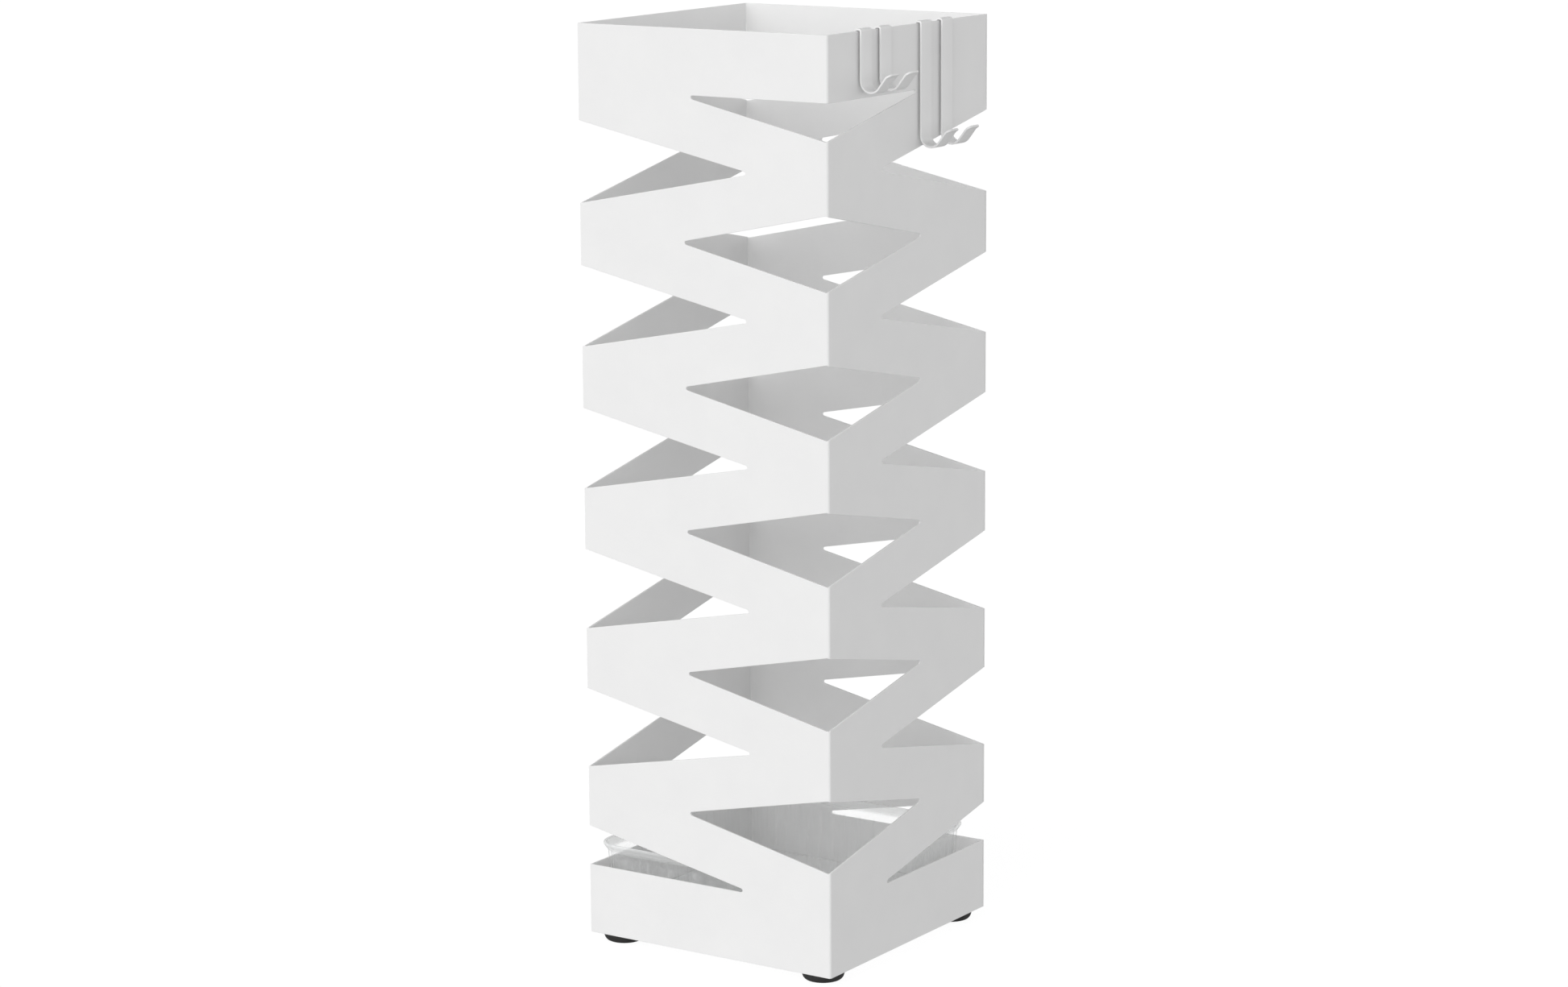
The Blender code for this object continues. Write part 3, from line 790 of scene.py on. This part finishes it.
def hook_stations(drop):
    """Centre line of a hook in its own X-Z plane: x = 0 is the wall's outer face, z = 0 the rim."""
    half_sheet = SHEET / 2
    saddle_radius = HOOK_SADDLE_RADIUS + half_sheet
    bowl_radius = HOOK_BOWL_RADIUS + half_sheet
    lip_radius = HOOK_LIP_RADIUS + half_sheet
    inner_x = -SHEET - GAP - half_sheet
    outer_x = HOOK_STANDOFF + half_sheet
    bend_height = GAP - HOOK_SADDLE_RADIUS
    bowl_height = bowl_radius + half_sheet - drop
    quarter = math.pi / 2
    moves = [
        (HOOK_END_RADIUS, 0.0),
        (bend_height + HOOK_INNER_LEG - HOOK_END_RADIUS, 0.0),
        (saddle_radius * quarter, -quarter),
        (outer_x - inner_x - 2 * saddle_radius, 0.0),
        (saddle_radius * quarter, -quarter),
        (bend_height - bowl_height, 0.0),
        (bowl_radius * (quarter + HOOK_SLOPE), quarter + HOOK_SLOPE),
        (HOOK_RISE, 0.0),
        (lip_radius * HOOK_LIP_TURN, -HOOK_LIP_TURN),
    ]
    return walk((inner_x, -HOOK_INNER_LEG), quarter, moves)


def end_stations(place, heading, shares):
    """Stations on the straight run that starts at 'place', at shares of the end radius."""
    way = Vector((math.cos(heading), math.sin(heading)))
    return [(place + way * HOOK_END_RADIUS * share, heading) for share in shares]


def with_rounded_ends(stations):
    """Add stations close to both ends, so that the strip's ends can be rounded."""
    shares = [1 - math.cos(step / 8 * math.pi / 2) for step in range(1, 8)]
    first, start_heading = stations[0]
    last, end_heading = stations[-1]
    opening = end_stations(first, start_heading, shares)
    closing = end_stations(last, end_heading, [1 - share for share in reversed(shares)] + [1.0])
    return [stations[0]] + opening + stations[1:] + closing


def strip_ring(point, heading, half_width, half_thickness, y):
    """Rounded rectangle across the strip."""
    radius = min(HOOK_EDGE_RADIUS, half_thickness * 0.95, half_width * 0.95)
    normal = Vector((-math.sin(heading), math.cos(heading)))
    ring = []
    for quarter in range(4):
        sign_across = (1, -1, -1, 1)[quarter]
        sign_out = (1, 1, -1, -1)[quarter]
        centre = Vector((sign_across * (half_width - radius), sign_out * (half_thickness - radius)))
        start = quarter * math.pi / 2
        for across, out in arc(centre, radius, start, start + math.pi / 2, 3):
            place = point + normal * out
            ring.append(Vector((place.x, y + across, place.y)))
    return ring


def hook_bm(drop, y):
    """Flat strip bent along the hook's centre line, with soft edges and rounded free ends."""
    stations = with_rounded_ends(hook_stations(drop))
    distances = [0.0]
    for (before, _), (after, _) in zip(stations, stations[1:]):
        distances.append(distances[-1] + (after - before).length)
    rings = []
    for (point, heading), distance in zip(stations, distances):
        from_end = min(distance, distances[-1] - distance)
        shortfall = HOOK_END_RADIUS - min(from_end, HOOK_END_RADIUS)
        trim = HOOK_END_RADIUS - math.sqrt(HOOK_END_RADIUS ** 2 - shortfall ** 2)
        soft = HOOK_EDGE_RADIUS - min(from_end, HOOK_EDGE_RADIUS)
        thin = HOOK_EDGE_RADIUS - math.sqrt(HOOK_EDGE_RADIUS ** 2 - soft ** 2)
        rings.append(strip_ring(point, heading, HOOK_WIDTH / 2 - trim, SHEET / 2 - thin, y))
    bm = bmesh.new()
    loft_into(bm, rings)
    return shifted(bm, Vector((FRONT_HIGH.x, 0.0, FRONT_HIGH.z)))


def add_hooks(paint):
    """Each hook rides on its own body."""
    for node in HOOKS:
        low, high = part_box(node)
        drop = FRONT_HIGH.z - low.z
        bm = hook_bm(drop, (low.y + high.y) / 2)
        add_piece(f"strip_{node}", bm, paint, node, [node], math.radians(35.0))


# ---------------------------------------------------------------- materials
class Nodes:
    """A material's node tree, with short calls for the nodes used here."""

    def __init__(self, name):
        self.material = bpy.data.materials.new(name)
        self.material.use_nodes = True
        self.tree = self.material.node_tree
        self.shader = self.tree.nodes["Principled BSDF"]
        self.coordinates = self.tree.nodes.new("ShaderNodeTexCoord").outputs["Object"]

    def add(self, kind, **settings):
        node = self.tree.nodes.new(kind)
        for key, value in settings.items():
            setattr(node, key, value)
        return node

    def join(self, output, socket):
        self.tree.links.new(output, socket)

    def stretched(self, scale):
        """Object coordinates, scaled along each axis."""
        node = self.add("ShaderNodeMapping")
        node.inputs["Scale"].default_value = scale
        self.join(self.coordinates, node.inputs["Vector"])
        return node.outputs["Vector"]

    def noise(self, scale, detail=2.0, roughness=0.5, vector=None):
        """Noise from 0 to 1; 'scale' is in features to the metre."""
        node = self.add("ShaderNodeTexNoise")
        node.inputs["Scale"].default_value = scale
        node.inputs["Detail"].default_value = detail
        node.inputs["Roughness"].default_value = roughness
        self.join(vector or self.coordinates, node.inputs["Vector"])
        return node.outputs["Fac"]

    def ranged(self, value, low, high, start=0.3, end=0.7):
        """Map start..end of a value onto low..high."""
        node = self.add("ShaderNodeMapRange")
        node.inputs["From Min"].default_value = start
        node.inputs["From Max"].default_value = end
        node.inputs["To Min"].default_value = low
        node.inputs["To Max"].default_value = high
        self.join(value, node.inputs["Value"])
        return node.outputs["Result"]

    def mixed(self, factor, first, second):
        """Colour between two colours."""
        node = self.add("ShaderNodeMix", data_type="RGBA")
        for socket in node.inputs:
            if socket.name == "A" and socket.type == "RGBA":
                socket.default_value = (*first, 1.0)
            if socket.name == "B" and socket.type == "RGBA":
                socket.default_value = (*second, 1.0)
        self.join(factor, node.inputs["Factor"])
        return [output for output in node.outputs if output.type == "RGBA"][0]

    def maths(self, operation, first, second):
        """Result of a Math node on outputs or plain numbers."""
        node = self.add("ShaderNodeMath", operation=operation)
        for value, socket in zip((first, second), node.inputs):
            if isinstance(value, float):
                socket.default_value = value
            else:
                self.join(value, socket)
        return node.outputs[0]

    def bump(self, height, distance, strength=1.0, below=None):
        """Bump of a height in metres, on top of another bump."""
        node = self.add("ShaderNodeBump")
        node.inputs["Strength"].default_value = strength
        node.inputs["Distance"].default_value = distance
        self.join(height, node.inputs["Height"])
        if below is not None:
            self.join(below, node.inputs["Normal"])
        return node.outputs["Normal"]


def powder_coat(name, light, dark, roughness, grain):
    """Satin powder coat: fine grain, soft orange peel, and a slight cloudiness of colour and gloss."""
    n = Nodes(name)
    cloud = n.noise(45.0, 3.0)
    speck = n.noise(3200.0, 1.0)
    peel = n.noise(1100.0, 2.0, 0.55)
    wave = n.noise(230.0, 1.0)
    blend = n.maths("ADD", n.maths("MULTIPLY", speck, 0.45), n.ranged(cloud, -0.2, 0.75))
    n.join(n.mixed(blend, dark, light), n.shader.inputs["Base Color"])
    n.join(n.ranged(peel, roughness - 0.05, roughness + 0.06), n.shader.inputs["Roughness"])
    fine = n.bump(speck, 0.000006 * grain)
    peeled = n.bump(peel, 0.00003 * grain, below=fine)
    n.join(n.bump(wave, 0.00003 * grain, below=peeled), n.shader.inputs["Normal"])
    n.shader.inputs["IOR"].default_value = 1.5
    return n.material


def clear_plastic():
    """Thin clear plastic: see-through, greyer and shinier where it is seen edge on, with flow lines."""
    n = Nodes("tray_clear_plastic")
    shoulder = TRAY_HIGH.z - TRAY_RIM_HEIGHT
    place = n.add("ShaderNodeSeparateXYZ")
    n.join(n.coordinates, place.inputs[0])
    height = place.outputs["Z"]
    below_rim = n.ranged(height, 1.0, 0.0, shoulder - TRAY_RIM_FADE, shoulder)
    rim = n.ranged(height, 0.0, TRAY_RIM_FILM, shoulder - 0.001, shoulder + 0.001)
    flow = n.maths("MULTIPLY", n.noise(1.0, 3.0, vector=n.stretched((260.0, 260.0, 7.0))), below_rim)
    haze = n.noise(60.0, 3.0)
    n.join(n.mixed(n.ranged(haze, 0.0, 1.0), (0.9, 0.91, 0.91), (0.95, 0.96, 0.96)),
           n.shader.inputs["Base Color"])
    n.join(n.ranged(haze, 0.05, 0.12), n.shader.inputs["Roughness"])
    n.join(n.bump(flow, 0.00006), n.shader.inputs["Normal"])
    n.shader.inputs["IOR"].default_value = 1.46
    facing = n.add("ShaderNodeLayerWeight")
    facing.inputs["Blend"].default_value = 0.25
    edge_on = n.maths("POWER", facing.outputs["Facing"], 3.0)
    wall = n.ranged(flow, TRAY_FILM, TRAY_FILM + TRAY_STREAKS, 0.5, 0.8)
    film = n.maths("ADD", n.maths("ADD", wall, rim), n.maths("MULTIPLY", edge_on, TRAY_EDGE_FILM))
    clear = n.add("ShaderNodeBsdfTransparent")
    n.join(n.mixed(edge_on, (0.998, 1.0, 1.0), TRAY_EDGE_TINT), clear.inputs["Color"])
    mix = n.add("ShaderNodeMixShader")
    n.join(film, mix.inputs["Fac"])
    n.join(clear.outputs["BSDF"], mix.inputs[1])
    n.join(n.shader.outputs["BSDF"], mix.inputs[2])
    n.join(mix.outputs["Shader"], n.tree.nodes["Material Output"].inputs["Surface"])
    return n.material


def rubber():
    """Matt black moulded rubber, a little dusty."""
    n = Nodes("foot_rubber_black")
    grain = n.noise(1800.0, 3.0)
    dust = n.noise(160.0, 4.0)
    n.join(n.mixed(n.ranged(dust, 0.0, 1.0), (0.012, 0.012, 0.012), (0.03, 0.03, 0.029)),
           n.shader.inputs["Base Color"])
    n.join(n.ranged(dust, 0.5, 0.72), n.shader.inputs["Roughness"])
    n.join(n.bump(grain, 0.00004), n.shader.inputs["Normal"])
    return n.material


def zinc(name, tint):
    """Zinc-plated steel with a faint mottle and drawn marks."""
    n = Nodes(name)
    mottle = n.noise(900.0, 3.0)
    drawn = n.noise(1.0, 2.0, vector=n.stretched((600.0, 600.0, 5000.0)))
    dark = tuple(channel * 0.86 for channel in tint)
    n.join(n.mixed(n.ranged(mottle, 0.0, 1.0), dark, tint), n.shader.inputs["Base Color"])
    n.join(n.ranged(mottle, 0.26, 0.42), n.shader.inputs["Roughness"])
    n.join(n.bump(drawn, 0.000012), n.shader.inputs["Normal"])
    n.shader.inputs["Metallic"].default_value = 1.0
    return n.material


# ---------------------------------------------------------------- stage
def add_floor():
    """Plain pale floor of a milky sheet, which takes only a faint shadow."""
    n = Nodes("floor_pale")
    cloud = n.noise(1.5, 2.0)
    n.join(n.mixed(n.ranged(cloud, 0.0, 1.0), (0.89, 0.89, 0.89), (0.91, 0.91, 0.91)),
           n.shader.inputs["Base Color"])
    n.shader.inputs["Roughness"].default_value = 0.8
    n.shader.inputs["Specular IOR Level"].default_value = 0.2
    n.shader.inputs["Alpha"].default_value = FLOOR_MILKINESS
    bm = bmesh.new()
    bmesh.ops.create_grid(bm, x_segments=4, y_segments=4, size=FLOOR_HALF)
    mesh = bpy.data.meshes.new("floor")
    bm.to_mesh(mesh)
    bm.free()
    mesh.materials.append(n.material)
    floor = bpy.data.objects.new("floor", mesh)
    bpy.context.scene.collection.objects.link(floor)


def add_sky():
    """Soft light from a broad band above the horizon all round; surroundings look white to the camera."""
    world = bpy.data.worlds.new("studio")
    bpy.context.scene.world = world
    world.use_nodes = True
    nodes = world.node_tree.nodes
    links = world.node_tree.links
    background = nodes["Background"]
    background.inputs["Color"].default_value = (1.0, 1.0, 1.0, 1.0)
    axes = nodes.new("ShaderNodeSeparateXYZ")
    links.new(nodes.new("ShaderNodeTexCoord").outputs["Generated"], axes.inputs[0])
    height = nodes.new("ShaderNodeMapRange")
    height.inputs["From Min"].default_value = -1.0
    links.new(axes.outputs["Z"], height.inputs["Value"])
    bands = nodes.new("ShaderNodeValToRGB")
    links.new(height.outputs["Result"], bands.inputs["Fac"])
    stops = bands.color_ramp.elements
    while len(stops) < len(SKY_BANDS):
        stops.new(0.5)
    for stop, (sine, share) in zip(stops, SKY_BANDS):
        stop.position = (sine + 1) / 2
        stop.color = (share, share, share, 1.0)
    glow = nodes.new("ShaderNodeMath")
    glow.operation = "MULTIPLY"
    links.new(bands.outputs["Color"], glow.inputs[0])
    glow.inputs[1].default_value = SKY_LIGHT
    strength = nodes.new("ShaderNodeMapRange")
    links.new(nodes.new("ShaderNodeLightPath").outputs["Is Camera Ray"], strength.inputs["Value"])
    links.new(glow.outputs[0], strength.inputs["To Min"])
    strength.inputs["To Max"].default_value = SKY_SEEN
    links.new(strength.outputs["Result"], background.inputs["Strength"])


def add_key():
    """Broad soft light from the front, about a third of the way up."""
    light = bpy.data.lights.new("key", "SUN")
    light.energy = KEY_STRENGTH
    light.angle = KEY_ANGLE
    key = bpy.data.objects.new("key", light)
    bpy.context.scene.collection.objects.link(key)
    level = math.cos(KEY_HEIGHT)
    towards = Vector((-level * math.sin(KEY_SIDE), -level * math.cos(KEY_SIDE), math.sin(KEY_HEIGHT)))
    key.rotation_euler = towards.to_track_quat("Z", "Y").to_euler()


def add_camera():
    """Camera at the photograph's place."""
    data = bpy.data.cameras.new("camera")
    data.lens = CAMERA_LENS
    data.sensor_width = SENSOR_WIDTH
    data.clip_start = 0.1
    data.clip_end = 100.0
    camera = bpy.data.objects.new("camera", data)
    bpy.context.scene.collection.objects.link(camera)
    turn = Matrix.Rotation(CAMERA_TURN, 3, "Z")
    pitch = Matrix.Rotation(CAMERA_PITCH, 3, "X")
    roll = Matrix.Rotation(CAMERA_ROLL, 3, "Y")
    right, ahead, up = roll @ pitch @ turn
    axes = Matrix((right, up, -ahead)).transposed()
    camera.matrix_world = Matrix.Translation(CAMERA_PLACE) @ axes.to_4x4()
    bpy.context.scene.camera = camera


def main():
    """Build everything."""
    shell_paint = powder_coat("shell_powder_coat", (0.905, 0.905, 0.903), (0.885, 0.885, 0.885), 0.46, 1.0)
    pan_paint = powder_coat("pan_powder_coat", (0.9, 0.9, 0.9), (0.88, 0.88, 0.88), 0.5, 1.0)
    hook_paint = powder_coat("hook_powder_coat", (0.91, 0.91, 0.908), (0.89, 0.89, 0.89), 0.38, 0.6)
    add_camera()
    add_shell(shell_paint)
    add_pan(pan_paint)
    add_feet(rubber(), zinc("screw_zinc_plate", (0.64, 0.64, 0.62)), zinc("nut_zinc_plate", (0.6, 0.6, 0.58)))
    add_tray(clear_plastic())
    add_hooks(hook_paint)
    add_floor()
    add_sky()
    add_key()
    bpy.context.scene.view_settings.view_transform = "Standard"


main()
